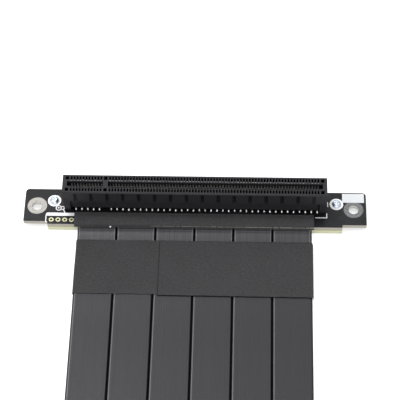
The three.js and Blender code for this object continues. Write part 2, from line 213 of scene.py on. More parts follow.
def bareBoardMaterial():
    material, tree, shader = newMaterial("bareGlassFibre", Roughness=0.55)
    where = millimetres(tree)
    across = waves(tree, where, "X", 0.55, 0.6, 1.0)
    along = waves(tree, where, "Y", 0.55, 0.6, 1.0)
    layers = waves(tree, where, "Z", 1.5, 1.5, 2.0)
    weave = mathNode(tree, "MULTIPLY", mathNode(tree, "ADD", across, along), 0.35)
    flat = levelFaces(tree)
    pattern = addNode(tree, "ShaderNodeMix", {"data_type": "FLOAT"}, i0=flat,
                      i2=mathNode(tree, "MULTIPLY", layers, 0.5), i3=weave).outputs[0]
    base = mixColours(tree, pattern, finish["bare"], finish["bareDark"])
    wire(tree, shader, Base_Color=base, Normal=bump(tree, weave, 0.02, 0.4))
    return material


# The place on a tape or a ribbon, in mm across and along it.
def sheetPlace(tree):
    return addNode(tree, "ShaderNodeUVMap", {"uv_map": "cloth"}).outputs[0]


def streaks(tree, place, stretch, detail, rough=0.5):
    where = addNode(tree, "ShaderNodeMapping", Vector=place, Scale=(*stretch, 1)).outputs[0]
    return speckle(tree, where, 1.0, detail, rough)


def weighted(tree, a, shareOfA, b, shareOfB):
    return mathNode(tree, "ADD", mathNode(tree, "MULTIPLY", a, shareOfA),
                    mathNode(tree, "MULTIPLY", b, shareOfB))


def clothMaterial():
    material, tree, shader = newMaterial("wovenClothTape", Roughness=0.82, Sheen_Weight=0.12,
                                         Specular_IOR_Level=0.25)
    place = sheetPlace(tree)
    weft = waves(tree, place, "Y", 0.9, 0.35, 1.0)
    warp = waves(tree, place, "X", 1.15, 0.35, 1.0)
    threads = mathNode(tree, "MULTIPLY", weft, mathNode(tree, "MULTIPLY_ADD", warp, 0.5))
    uneven = weighted(tree, streaks(tree, place, (1.0, 2.3), 3, 0.6), 0.6,
                      streaks(tree, place, (2.5, 1.1), 3, 0.6), 0.4)
    cloudy = speckle(tree, place, 0.09, 3)
    lint = ramp(tree, speckle(tree, place, 2.4, 2, 0.7), [(0.70, 0), (0.76, 1)])
    tone = mathNode(tree, "ADD", weighted(tree, threads, 0.35, uneven, 0.95),
                    mathNode(tree, "MULTIPLY", cloudy, 0.12))
    base = mixColours(tree, ramp(tree, tone, [(0.46, 0), (0.80, 1)]), finish["cloth"],
                      finish["clothThread"])
    base = mixColours(tree, mathNode(tree, "MULTIPLY", lint, 0.10), base, finish["lint"])
    wire(tree, shader, Base_Color=base,
         Normal=bump(tree, weighted(tree, threads, 1.0, uneven, 0.5), 0.12, 0.7))
    return material


def ribbonMaterial():
    material, tree, shader = newMaterial("ribbonFilm", Specular_IOR_Level=0.24)
    place = sheetPlace(tree)
    weave = mathNode(tree, "SUBTRACT", streaks(tree, place, (3.1, 3.1), 2), 0.5)
    cloudy = streaks(tree, place, (0.12, 0.06), 3)
    along = addNode(tree, "ShaderNodeSeparateXYZ", Vector=place).outputs[1]
    # The jacket is creased in its first 8 mm, where it bends down to the table, and is painted paler there as
    # a highlight where the slope catches the light.
    creaseAndSheen = ramp(tree, mathNode(tree, "MULTIPLY", along, 0.05), [(0.38, 1), (0.48, 0.12)])
    tone = weighted(tree, streaks(tree, place, (0.5, 0.012), 2), 0.4,
                    streaks(tree, place, (1.9, 0.03), 3), 0.6)
    tone = mathNode(tree, "MULTIPLY", mathNode(tree, "SUBTRACT", tone, 0.5), creaseAndSheen)
    tone = mathNode(tree, "ADD", weighted(tree, tone, 1.0, weave, 0.12), 0.5)
    base = mixColours(tree, ramp(tree, tone, [(0.36, 0), (0.64, 1)]), finish["ribbon"],
                      finish["ribbonStreak"])
    base = mixColours(tree, mathNode(tree, "MULTIPLY", creaseAndSheen, 0.3), base, finish["ribbonPaintedHighlight"])
    rough = mathNode(tree, "ADD", mathNode(tree, "MULTIPLY", cloudy, 0.16), 0.26)
    wire(tree, shader, Base_Color=base, Roughness=rough, Normal=bump(tree, tone, 0.03, 0.5))
    return material


def metalMaterial(name, colour, low, high, grain=3.0, metallic=1.0, worn=0.72):
    material, tree, shader = newMaterial(name, Metallic=metallic)
    where = millimetres(tree)
    tarnish = speckle(tree, where, grain, 4)
    dull = [c * worn for c in colour]
    base = mixColours(tree, ramp(tree, tarnish, [(0.36, 0), (0.62, 1)]), dull, colour)
    wire(tree, shader, Base_Color=base, Roughness=ramp(tree, tarnish, [(0.3, low), (0.7, high)]),
         Normal=bump(tree, tarnish, 0.015, 0.5))
    return material


def printMaterial(name, colour, worn, rough, gloss=0.5):
    material, tree, shader = newMaterial(name, Roughness=rough, Specular_IOR_Level=gloss)
    where = millimetres(tree)
    thin = ramp(tree, speckle(tree, where, 3.2, 4, 0.6), [(0.34, 1), (0.55, 0)])
    dull = [c * 0.55 for c in colour]
    wire(tree, shader, Base_Color=mixColours(tree, mathNode(tree, "MULTIPLY", thin, worn), colour, dull),
         Normal=bump(tree, speckle(tree, where, 7, 2), 0.01, 0.5))
    return material


nylon = nylonMaterial()
solderMask = maskMaterial()
bareBoard = bareBoardMaterial()
clothTape = clothMaterial()
ribbonFilm = ribbonMaterial()
zinc = metalMaterial("zincPlate", finish["zinc"], 0.3, 0.46)
tin = metalMaterial("solderTin", finish["tin"], 0.22, 0.45)
plating = metalMaterial("contactPlating", finish["contact"], 0.35, 0.5, metallic=0.4)
# Painted shade: the front row's blades take a much darker copy of the contacts' plating, as they sit in the
# slot's shadow.
shadedPlating = metalMaterial("frontContactPlatingShaded", finish["contactShade"], 0.45, 0.6)
agedTin = metalMaterial("agedHolePlating", finish["agedTin"], 0.5, 0.65, 2.2, worn=0.66)
dullTin = metalMaterial("dullHolePlating", finish["dullTin"], 0.4, 0.6, 3.2, worn=0.4)
# Painted light: the holes' inner walls are a bright tin, much paler than the rings' plating, so that they
# look lit inside the holes.
litHoleWall = printMaterial("tinnedHoleWall", finish["litHoleWall"], 0.25, 0.45)
fluxTin = metalMaterial("fluxedPads", finish["fluxTin"], 0.45, 0.6, 2.0)
clothEdgeHighlight = printMaterial("clothEdgeHighlight", finish["clothEdgeHighlight"], 0.5, 0.9, 0.2)
ribbonEdge = printMaterial("ribbonWeld", finish["ribbonEdge"], 0.4, 0.9, 0.05)
# Painted highlight: a paler ribbon jacket for the lit left edges and the lit bend near the socket.
ribbonPaintedHighlight = printMaterial("ribbonPaintedHighlight", finish["ribbonPaintedHighlight"], 0.8, 0.4)
gold = metalMaterial("goldFinger", finish["gold"], 0.18, 0.3)
ink = printMaterial("printedInk", finish["ink"], 0.25, 0.55)
paper = printMaterial("labelPaper", finish["paper"], 0.06, 0.6)
glue = printMaterial("glueLine", finish["glue"], 0.9, 0.5)

cadFinishes = {
    "slot_housing": nylon, "socket_board": solderMask, "plug_board": solderMask,
    "socket_backing_board": bareBoard, "plug_backing_board": bareBoard,
}
for nodeName, material in cadFinishes.items():
    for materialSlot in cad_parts[nodeName].material_slots:
        materialSlot.material = material
print("finishes made")


def makePiece(name, points, faces, material, nodes=(), smooth=False, uvs=None):
    mesh = bpy.data.meshes.new(name)
    mesh.from_pydata([[c * mm for c in p] for p in points], [], faces)
    if uvs:
        layer = mesh.uv_layers.new(name="cloth")
        for loop in mesh.loops:
            layer.data[loop.index].uv = uvs[loop.vertex_index]
    if smooth:
        mesh.polygons.foreach_set("use_smooth", [True] * len(mesh.polygons))
    mesh.materials.append(material)
    mesh.validate()
    piece = bpy.data.objects.new(name, mesh)
    bpy.context.collection.objects.link(piece)
    settle(piece, nodes)
    return piece


def settle(piece, nodes=()):
    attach(piece, "root")
    if nodes:
        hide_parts(*nodes)


# Turns a closed ring of (radius, height) points round an upright axis.
def lathe(profile, centre, sides=48):
    points, faces = [], []
    for k in range(sides):
        angle = 2 * math.pi * k / sides
        for radius, height in profile:
            points.append((centre[0] + radius * math.cos(angle), centre[1] + radius * math.sin(angle),
                           height))
    n = len(profile)
    for k in range(sides):
        for j in range(n):
            a, b = k * n + j, k * n + (j + 1) % n
            c, d = ((k + 1) % sides) * n + (j + 1) % n, ((k + 1) % sides) * n + j
            faces.append((a, d, c, b))
    return points, faces


# A printed line: a flat closed bar that follows a run of X-Y points.
def stroke(line, width, floor, top, closed=False):
    left, right = [], []
    count = len(line)
    for i, point in enumerate(line):
        here = Vector(point)
        before = Vector(line[i - 1 if closed else max(i - 1, 0)])
        after = Vector(line[(i + 1) % count if closed else min(i + 1, count - 1)])
        into = (here - before).normalized() if before != here else (after - here).normalized()
        out = (after - here).normalized() if after != here else into
        normal = Vector((-(into + out).y, (into + out).x)).normalized()
        reach = width / 2 / max(normal.dot(Vector((-into.y, into.x))), 0.4)
        left.append(here + normal * reach)
        right.append(here - normal * reach)
    points = []
    for a, b in zip(left, right):
        points += [(a.x, a.y, floor), (b.x, b.y, floor), (b.x, b.y, top), (a.x, a.y, top)]
    faces = []
    for i in range(count if closed else count - 1):
        a, b = 4 * i, 4 * ((i + 1) % count)
        for j in range(4):
            faces.append((a + j, b + j, b + (j + 1) % 4, a + (j + 1) % 4))
    if not closed:
        end = 4 * (count - 1)
        faces += [(0, 1, 2, 3), (end + 3, end + 2, end + 1, end)]
    return points, faces


def joined(parts):
    points, faces = [], []
    for somePoints, someFaces in parts:
        start = len(points)
        points += somePoints
        faces += [tuple(i + start for i in face) for face in someFaces]
    return points, faces


# The side faces of a skin whose points come ring after ring, with n points to a ring.
def skinFaces(rings, n, first=0):
    faces = []
    for i in range(rings - 1):
        for j in range(n):
            a, b = first + i * n + j, first + i * n + (j + 1) % n
            faces.append((a, b, b + n, a + n))
    return faces


# The faces of a sheet of two layers, whose points come layer by layer and column by column.
def sheetFaces(columns, rows, closed=False):
    width = rows + 1
    total = columns * width
    faces = []
    for i in range(columns if closed else columns - 1):
        here, beside = i * width, (i + 1) % columns * width
        for k in range(rows):
            a, b = here + k, beside + k
            faces += [(a, b, b + 1, a + 1), (total + a, total + a + 1, total + b + 1, total + b)]
        for k in (0, rows):
            a, b = here + k, beside + k
            faces.append((a, total + a, total + b, b))
    for i in () if closed else (0, columns - 1):
        for a in range(i * width, i * width + rows):
            faces.append((a, a + 1, total + a + 1, total + a))
    return faces


def ringPoints(centre, radius, count=28):
    return [(centre[0] + radius * math.cos(2 * math.pi * k / count),
             centre[1] + radius * math.sin(2 * math.pi * k / count)) for k in range(count)]


def fixNormals(piece):
    shape = bmesh.new()
    shape.from_mesh(piece.data)
    bmesh.ops.remove_doubles(shape, verts=shape.verts, dist=1e-7)
    bmesh.ops.recalc_face_normals(shape, faces=shape.faces)
    shape.to_mesh(piece.data)
    shape.free()


ribbonSizes = {
    "count": 6, "pitch": 13.2, "bodyHalf": 6.27, "lipHalf": 6.68, "lipThickness": 0.1, "lipLift": 0.12,
    "thickness": 0.8, "edgeRadius": 0.3, "highlightWidth": 0.5, "highlightEnd": -20, "rib": 0.012, "ribs": 15,
    "length": 200, "width": 12.9,
}
ribbonRoute = [
    (-7.3, 2.6), (-7.32, 2.2), (-7.43, 1.75), (-7.7, 1.33), (-8.15, 1), (-8.75, 0.8), (-9.65, 0.7),
    (-20, 0.7), (-33, 0.7), (-37, 0.58), (-43, 0.47), (-62, 0.45), (-84, 0.45), (-106.19, 0.45),
    (-128.38, 0.45), (-150.38, 0.45), (-169.38, 0.47), (-175.38, 0.58), (-179.38, 0.7),
    (-192.38, 0.7), (-202.73, 0.7), (-203.63, 0.8), (-204.23, 1), (-204.68, 1.33),
    (-204.95, 1.75), (-205.06, 2.2), (-205.08, 2.6),
]


mouthSizes = {"socketY": -12.6, "plugY": -199.8, "reach": 4, "rise": 0.32}


# The ribbons stand a little higher where they come out from under the tape at either end.
def atMouth(point):
    pastSocket, pastPlug = point.x - mouthSizes["socketY"], mouthSizes["plugY"] - point.x
    near = min(max(pastSocket, pastPlug, 0) / mouthSizes["reach"], 1)
    rise = mouthSizes["rise"] * near * near * (3 - 2 * near)
    return point + Vector((rise if pastSocket > 0 else -rise, rise))


# Points along a smooth curve through the route's points.
def smoothRoute(route, step):
    points = [Vector(p) for p in route]
    fine = []
    for i in range(len(points) - 1):
        a, b = points[i], points[i + 1]
        before, after = points[max(i - 1, 0)], points[min(i + 2, len(points) - 1)]
        span = (b - a).length
        startPull = (b - before).normalized() * span if b != before else b - a
        endPull = (after - a).normalized() * span if after != a else b - a
        count = max(2, round(span / step))
        for k in range(count):
            t = k / count
            fine.append((2 * t ** 3 - 3 * t ** 2 + 1) * a + (t ** 3 - 2 * t ** 2 + t) * startPull
                        + (3 * t ** 2 - 2 * t ** 3) * b + (t ** 3 - t ** 2) * endPull)
    fine.append(points[-1])
    return [atMouth(p) for p in fine]


# Half-round edges over a thin welded lip, and faint ribs over the wires. Points run round the band.
# Every second ribbon's lip is lifted on to its neighbours' lips.
def ribbonProfile(sizes, lift):
    half, lip, radius = sizes["bodyHalf"], sizes["lipHalf"], sizes["edgeRadius"]
    top = sizes["thickness"] / 2
    foot = lift - top
    side = [(half, -top), (half, foot)] if lift else []
    side += [(lip, foot), (lip, foot + sizes["lipThickness"]), (half, foot + sizes["lipThickness"])]
    side += [(half - radius + radius * math.cos(a), top - radius + radius * math.sin(a))
             for a in [math.pi / 2 * k / 5 for k in range(6)]]
    across = []
    steps = sizes["ribs"] * 4
    for k in range(1, steps):
        x = (half - radius) * (1 - 2 * k / steps)
        across.append((x, top + sizes["rib"] * (math.cos(2 * math.pi * sizes["ribs"] * k / steps) - 1)))
    return side + across + [(-x, z) for x, z in reversed(side)]


def makeRibbon(index, sizes):
    middle = (index - (sizes["count"] - 1) / 2) * sizes["pitch"]
    route = smoothRoute(ribbonRoute, 2.2)
    profile = ribbonProfile(sizes, sizes["lipLift"] * (index % 2))
    n = len(profile)
    points, uvs = [], []
    travelled = 0.0
    for i, here in enumerate(route):
        before, after = route[max(i - 1, 0)], route[min(i + 1, len(route) - 1)]
        ahead = (after - before).normalized()
        normal = Vector((ahead.y, -ahead.x))  # points up where the ribbon runs towards -Y
        travelled += (here - before).length
        for x, z in profile:
            points.append((middle + x, here.x + normal.x * z, here.y + normal.y * z))
            uvs.append((middle + x + 0.35 * z, travelled))
    faces = skinFaces(len(route), n)
    faces += [tuple(reversed(range(n))), tuple(range(len(points) - n, len(points)))]
    ribbon = makePiece(f"flat_ribbon_{index + 1}", points, faces, ribbonFilm,
                       [f"ribbon_{index + 1}"], smooth=True, uvs=uvs)
    fixNormals(ribbon)
    ribbon.data.materials.append(ribbonEdge)
    ribbon.data.materials.append(ribbonPaintedHighlight)
    body, weld, rim = range(3)  # the ribbon's finishes in their order
    for face in ribbon.data.polygons:
        reach = face.center.x / mm - middle
        outermost = index in (0, sizes["count"] - 1) and reach * middle > 0
        nearSocket = face.center.y / mm > sizes["highlightEnd"]
        if abs(reach) > sizes["bodyHalf"] - 0.06:
            face.material_index = body if outermost else weld
        # Painted highlight: a paler band along each ribbon's left edge, and along both edges near the socket,
        # where the rounded edges catch the light.
        elif abs(reach) > sizes["bodyHalf"] - sizes["highlightWidth"] and (reach < 0 or nearSocket):
            face.material_index = rim
    return ribbon, middle


ribbons = [makeRibbon(i, ribbonSizes) for i in range(ribbonSizes["count"])]
print("ribbons laid")


# A thick strip of cloth. path is its X-Z line, and edges(x) gives its two ends in Y at that X.
def clothSheet(name, path, length, edges, thickness, wobble, nodes=(), closed=False, seed=0):
    count = len(path)
    rows = max(6, round(length / 0.9))
    points, uvs, normals = [], [], []
    for i in range(count):
        before = Vector(path[i - 1 if closed else max(i - 1, 0)])
        after = Vector(path[(i + 1) % count if closed else min(i + 1, count - 1)])
        ahead = (after - before).normalized()
        normals.append(Vector((-ahead.y, ahead.x)))
    for layer in (0, 1):
        run = 0.0
        for i, (x, z) in enumerate(path):
            if i:
                run += (Vector(path[i]) - Vector(path[i - 1])).length
            near, far = edges(x)
            for k in range(rows + 1):
                y = near + (far - near) * k / rows
                lift = wobble * noise.noise(Vector((x * 0.16, y * 0.16, seed + 3.1)))
                lift += 0.4 * wobble * noise.noise(Vector((x * 0.9, y * 0.9, seed + 9.7)))
                out = normals[i] * (layer * thickness + lift)
                points.append((x + out.x, y, z + out.y))
                uvs.append((run, y))
    faces = sheetFaces(count, rows, closed)
    piece = makePiece(name, points, faces, clothTape, nodes, uvs=uvs)
    fixNormals(piece)
    return piece


wrapSizes = {
    "half": 39.75, "floor": 0.22, "top": 1.18, "thickness": 0.16, "corner": 0.5, "sag": 0.05, "sagWidth": 0.7,
    "outerGap": 36, "wide": 21, "ragged": 0.12, "steps": 72, "overlapFrom": -11.7, "overlapLift": 0.24,
    "overlapShift": 0.55, "overlapSlant": 0.002, "overlapWide": 20.9, "overlapThickness": 0.2,
}


# The tape sinks a little where it spans the gap between two ribbons.
def overGaps(x, sizes):
    pitch = ribbonSizes["pitch"]
    nearest = round(x / pitch) * pitch
    if abs(x) >= sizes["outerGap"]:
        return 0
    return -sizes["sag"] * math.exp(-((x - nearest) / sizes["sagWidth"]) ** 2)


def sleevePath(sizes):
    half, floor, top, corner = sizes["half"], sizes["floor"], sizes["top"], sizes["corner"]
    steps = sizes["steps"]
    xs = [half - corner - (2 * (half - corner)) * k / steps for k in range(steps + 1)]
    path = [(x, top + overGaps(x, sizes)) for x in xs]
    middle = (top + floor) / 2
    radius = (top - floor) / 2
    turn = [(-(half - corner) - corner * math.sin(a), middle + radius * math.cos(a))
            for a in [math.pi * k / 8 for k in range(1, 8)]]
    under = [(-x, floor) for x in xs]
    back = [(-x, 2 * middle - z) for x, z in turn]
    return [(x, z) for x, z in reversed(path + turn + under + back)]


# Both ends of the wrap in Y: of the sleeve under it, and of the overlap, which lies a little askew.
def wrapEnds(sizes, edgeY, direction):
    def ragged(x, row):
        return sizes["ragged"] * noise.noise(Vector((x * 0.35, row, 0.0)))

    def sleeveEnds(x):
        near = edgeY + ragged(x, 5.0)
        return near, near + direction * sizes["wide"]

    def overlapEnds(x):
        near = edgeY + direction * (sizes["overlapShift"] + sizes["overlapSlant"] * (x + 11)) + ragged(x, 9.0)
        return near, near + direction * sizes["overlapWide"]

    return sleeveEnds, overlapEnds


def makeWrap(prefix, edgeY, direction, node):
    sizes = wrapSizes
    sleeveEnds, overlapEnds = wrapEnds(sizes, edgeY, direction)
    sleeve = clothSheet(f"{prefix}_wrap_cloth", sleevePath(sizes), sizes["wide"], sleeveEnds,
                        sizes["thickness"], 0.05, [node], closed=True, seed=2)
    lifted = sizes["top"] + sizes["overlapLift"]
    start, half = sizes["overlapFrom"], sizes["half"]
    xs = [start, start + 0.3] + [start + (half - start - 0.3) * k / 46 for k in range(1, 47)]
    path = [(x, lifted + overGaps(x, sizes)) for x in xs]
    path += [(half + 0.02, lifted - 0.2), (half + 0.14, 0.7), (half + 0.05, 0.3)]
    overlap = clothSheet(f"{prefix}_wrap_overlap", path, sizes["wide"], overlapEnds,
                         sizes["overlapThickness"], 0.04, seed=7)
    # Painted highlight: the overlap's first 0.3 mm, along its cut end, takes a paler cloth where the edge
    # would catch the light from the left.
    overlap.data.materials.append(clothEdgeHighlight)
    for face in overlap.data.polygons:
        if face.center.x / mm < start + 0.3:
            face.material_index = 1
    return [sleeve, overlap]


jointSizes = {
    "left": -40.8, "right": 40.35, "back": 4.8, "edge": 0.3, "rise": 1.1, "height": 0.9, "fold": 0.6,
    "nose": 0.85, "noseHeight": -0.05, "drop": 0.3, "lip": 0.3, "steps": 130,
}


# Rounds the corners of an open line.
def softCorner(points, radius, steps=4):
    smooth = [Vector(points[0])]
    for i in range(1, len(points) - 1):
        here, before, after = Vector(points[i]), Vector(points[i - 1]), Vector(points[i + 1])
        r = min(radius, (before - here).length * 0.45, (after - here).length * 0.45)
        a, b = here + (before - here).normalized() * r, here + (after - here).normalized() * r
        for k in range(steps + 1):
            t = k / steps
            smooth.append((1 - t) ** 2 * a + 2 * t * (1 - t) * here + t * t * b)
    smooth.append(Vector(points[-1]))
    return smooth


# edgeY is the board's edge that the tape folds over, and direction points from the board to the ribbons.
def makeJointTape(name, edgeY, direction, node):
    sizes = jointSizes
    back, height, drop = sizes["back"], sizes["height"], sizes["drop"]
    outer = softCorner([
        (-back, 0.01), (-back, sizes["edge"]), (sizes["rise"] - back, height), (-2.6, height + 0.02),
        (-1, height - 0.03), (sizes["fold"], height), (sizes["nose"], sizes["noseHeight"]),
        (sizes["nose"], -drop),
    ], 0.5)
    line = outer + [Vector((sizes["lip"], -drop)), Vector((sizes["lip"], 0.01))]
    n = len(line)
    points, uvs = [], []
    steps = sizes["steps"]
    for i in range(steps + 1):
        x = sizes["left"] + (sizes["right"] - sizes["left"]) * i / steps
        run = 0.0
        for j, p in enumerate(line):
            if j:
                run += (p - line[j - 1]).length
            soft = 1 if 2 < j < len(outer) - 1 else 0
            lump = 0.07 * noise.noise(Vector((x * 0.3, run * 0.5, 1.7)))
            lump += 0.04 * noise.noise(Vector((x * 1.1, run * 1.3, 4.2)))
            reach = p.x + soft * 0.5 * lump
            slant = 0.25 * noise.noise(Vector((run * 0.5, 7.7, x * 0.02))) if i in (0, steps) else 0
            frayed = 0.1 * noise.noise(Vector((x * 0.8, 3.3, 0.5))) if j < 3 else 0
            points.append((x + slant, edgeY + direction * (reach + frayed), boardTop + p.y + soft * lump))
            uvs.append((x, run))
    faces = skinFaces(steps + 1, n)
    faces += [tuple(range(n)), tuple(reversed(range(steps * n, (steps + 1) * n)))]
    piece = makePiece(name, points, faces, clothTape, [node], uvs=uvs)
    fixNormals(piece)
    return piece


socketEdgeY = slotY - 8.95
plugEdgeY = -205.88
wrapGap = 4.9  # from a board's edge to the wrap
makeJointTape("socket_joint_cloth", socketEdgeY, -1, "socket_joint_tape")
makeJointTape("plug_joint_cloth", plugEdgeY, 1, "plug_joint_tape")
socketWrap = makeWrap("socket", socketEdgeY - wrapGap, -1, "socket_wrap_tape")
plugWrap = makeWrap("plug", plugEdgeY + wrapGap, 1, "plug_wrap_tape")
print("tape wrapped")


glueSizes = {
    "from": -14.6, "to": 40.4, "width": 0.16, "widening": 0.006, "height": 0.05, "proud": 0.10,
    "belowFold": 0.33, "beadX": -28.4, "beadHeight": 0.1,
}


def makeGlueLine(sizes):
    random.seed(5)
    parts = []
    x = sizes["from"]
    while x < sizes["to"]:
        span = random.uniform(1.2, 4.5)
        end = min(x + span, sizes["to"])
        line = []
        steps = max(2, int((end - x) / 0.5))
        for k in range(steps + 1):
            here = x + (end - x) * k / steps
            line.append((here, 0.08 * noise.noise(Vector((here * 0.6, 2.0, 0.0)))))
        width = (sizes["width"] + sizes["widening"] * (x - sizes["from"])) * random.uniform(0.6, 1.15)
        points, faces = stroke(line, width, 0, sizes["height"])
        tilted = []
        for px, py, pz in points:  # lies on the tape's sloping front, just under the fold
            reach = jointSizes["fold"] + sizes["proud"] - 0.28 * py + 0.9 * pz
            height = jointSizes["height"] - sizes["belowFold"] + 0.9 * py + 0.35 * pz
            tilted.append((px, socketEdgeY - reach, boardTop + height))
        parts.append((tilted, faces))
        x = end + random.uniform(0.05, 0.5)
    points, faces = joined(parts)
    piece = makePiece("tape_glue_line", points, faces, glue)
    fixNormals(piece)
    bead = [(0.02, -0.24), (0.22, -0.17), (0.3, 0), (0.25, 0.16), (0.13, 0.26), (0.02, 0.3)]
    points, faces = lathe([(r, boardTop + sizes["beadHeight"] + z) for r, z in bead],
                          (sizes["beadX"], socketEdgeY - jointSizes["nose"] - 0.05), 20)
    fixNormals(makePiece("tape_glue_bead", points, faces, ink))


makeGlueLine(glueSizes)


screwSizes = {
    "radius": 1.5, "rim": 0.42, "crown": 1.1, "flat": 0.65, "shank": 0.95, "tip": 0.35,
    "recessWidth": 0.46, "recessLength": 1.8, "recessDepth": 0.42, "sides": 96,
}


# Pan head with a cross recess, as one closed skin from the crown down to the shank's tip.
def makeScrew(name, x, y, turn, node):
    sizes = screwSizes
    sides = sizes["sides"]
    radii = [0.06 * k for k in range(1, 24)] + [1.45, sizes["radius"]]

    def height(px, py):
        slope = max(0, (math.hypot(px, py) - sizes["flat"]) / (sizes["radius"] - sizes["flat"]))
        dome = sizes["rim"] + (sizes["crown"] - sizes["rim"]) * (1 - slope ** 2.2)
        a, b = abs(px), abs(py)
        narrow = min(a, b) - sizes["recessWidth"] / 2 * (1 - 0.25 * max(a, b))
        long = max(a, b) - sizes["recessLength"] / 2
        cut = max(0, min(1, -max(narrow, long) / 0.09 + 0.5))
        return dome - cut * sizes["recessDepth"] * (1 - 0.35 * max(a, b))

    points = [(0, 0, height(0, 0))]
    for r in radii:
        points += [(px, py, height(px, py)) for px, py in ringPoints((0, 0), r, sides)]
    lower = [(sizes["radius"], 0.12), (sizes["radius"] - 0.08, 0.0), (sizes["shank"] + 0.1, 0.0),
             (sizes["shank"], -0.1), (sizes["shank"], sizes["tip"] + 0.3 - boardTop),
             (sizes["shank"] - 0.3, sizes["tip"] - boardTop)]
    for r, z in lower:
        points += [(px, py, z) for px, py in ringPoints((0, 0), r, sides)]
    rings = len(radii) + len(lower)
    faces = [(0, 1 + k, 1 + (k + 1) % sides) for k in range(sides)] + skinFaces(rings, sides, 1)
    faces.append(tuple(1 + (rings - 1) * sides + k for k in reversed(range(sides))))
    spin = math.radians(turn)
    placed = [(x + px * math.cos(spin) - py * math.sin(spin),
               y + px * math.sin(spin) + py * math.cos(spin), boardTop + pz) for px, py, pz in points]
    piece = makePiece(name, placed, faces, zinc, [node])
    fixNormals(piece)
    return piece


screwX = 48.1
screwY = slotY + 0.5
plugScrewX = 44.2
plugScrewY = plugEdgeY - 7
makeScrew("left_pan_screw", -screwX, screwY, 32, "socket_screw_left")
makeScrew("right_pan_screw", screwX, screwY, 12, "socket_screw_right")
makeScrew("plug_left_pan_screw", -plugScrewX, plugScrewY, 20, "plug_screw_left")
makeScrew("plug_right_pan_screw", plugScrewX, plugScrewY, 55, "plug_screw_right")
print("screws turned")


padSizes = {
    "skin": 0.05, "holeX": 53.85, "holeY": -1.6, "holeRadius": 1.75, "ringRadius": 3.35,
    "powerX": -48.7, "powerY": -7.17, "powerPitch": 2.3, "powerCount": 4, "powerHole": 0.45,
    "powerRing": 0.84,
}


def platedHole(centre, hole, ring, skin):
    top, floor = boardTop + skin, boardFloor - skin
    barrel = hole - skin
    return lathe([
        (ring, boardTop - 0.01), (ring, top - 0.01), (ring - 0.06, top), (barrel + 0.05, top),
        (barrel, top - 0.05), (barrel, floor + 0.05), (barrel + 0.05, floor), (ring - 0.06, floor),
        (ring, floor + 0.01), (ring, boardFloor + 0.01), (hole + 0.02, boardFloor + 0.01),
        (hole + 0.02, boardTop - 0.01),
    ], centre)


def makePads(sizes):
    for name, side, metal in (("left_hole_plating", -1, agedTin), ("right_hole_plating", 1, dullTin)):
        centre = Vector((side * sizes["holeX"], slotY + sizes["holeY"]))
        points, faces = platedHole(centre, sizes["holeRadius"], sizes["ringRadius"], sizes["skin"])
        ring = makePiece(name, points, faces, metal)
        fixNormals(ring)
        # The walls inside the holes take the painted-light tin.
        ring.data.materials.append(litHoleWall)
        for face in ring.data.polygons:
            inHole = (face.center.xy / mm - centre).length < sizes["holeRadius"] + 0.2
            if abs(face.normal.z) < 0.5 and inHole:
                face.material_index = 1
    row = [(sizes["powerX"] + i * sizes["powerPitch"], slotY + sizes["powerY"])
           for i in range(sizes["powerCount"])]
    points, faces = joined([platedHole(centre, sizes["powerHole"], sizes["powerRing"], sizes["skin"])
                            for centre in row])
    fixNormals(makePiece("power_pads", points, faces, fluxTin))


makePads(padSizes)


inkSizes = {
    "floor": boardTop - 0.005, "top": boardTop + 0.025, "line": 0.3, "band": 1.25,
    "screwRing": (1.3, 2.3), "dot": (0.0005, 0.28), "dotAt": (-46.5, -2.4),
}
# Points in X and in Y from the socket's middle line, the line's width, and whether it closes.
printedLines = [
    ([(-50.3, -5.0), (-40.8, -5.0)], "band", False),
    ([(-50.35, -4.6), (-50.55, -5.2), (-50.55, -8.0), (-50.2, -8.4)], "line", False),
    (ringPoints((-46.45, -2.45), 0.92), "line", True),
    (ringPoints((-45.15, -2.45), 0.62), "line", True),
    ([(-44.85, -3.0), (-44.2, -4.45)], "line", False),
    ([(40.8, -5.05), (44.75, -5.05), (44.75, -3.2)], "line", False),
    ([(45.1, 1.4), (45.1, -0.6)], "line", False),
]


def makeMarks(sizes):
    low, high = sizes["floor"], sizes["top"]

    def flatRing(inner, outer, centre, sides=48):
        return lathe([(inner, low), (outer, low), (outer, high), (inner, high)], centre, sides)

    parts = [flatRing(*sizes["screwRing"], (x, screwY)) for x in (-screwX, screwX)]
    for line, width, closed in printedLines:
        parts.append(stroke([(x, slotY + y) for x, y in line], sizes[width], low, high, closed))
    dotX, dotY = sizes["dotAt"]
    parts.append(flatRing(*sizes["dot"], (dotX, slotY + dotY), 16))
    points, faces = joined(parts)
    fixNormals(makePiece("printed_marks", points, faces, ink))


labelSizes = {
    "left": 50.05, "right": 57.5, "front": 1.25, "back": 4.85, "thickness": 0.07, "curl": 0.6, "ripple": 0.01,
    "stepsAcross": 24, "stepsAlong": 12,
}


# A bare sticker on the right ear, with one lifted corner.
def makeLabel(sizes):
    left, right = sizes["left"], sizes["right"]
    front, back = slotY + sizes["front"], slotY + sizes["back"]
    across, along = sizes["stepsAcross"], sizes["stepsAlong"]
    points = []
    for layer in (0, 1):
        for i in range(across + 1):
            for j in range(along + 1):
                u, v = i / across, j / along
                x, y = left + (right - left) * u, front + (back - front) * v
                lift = sizes["curl"] * max(0, u - 0.8) * max(0, v - 0.6)
                lift += sizes["ripple"] * noise.noise(Vector((x, y, 2.0)))
                points.append((x, y, boardTop + 0.01 + layer * sizes["thickness"] + lift))
    faces = sheetFaces(across + 1, along)
    fixNormals(makePiece("bare_label", points, faces, paper))


makeMarks(inkSizes)
makeLabel(labelSizes)
print("pads and marks laid")


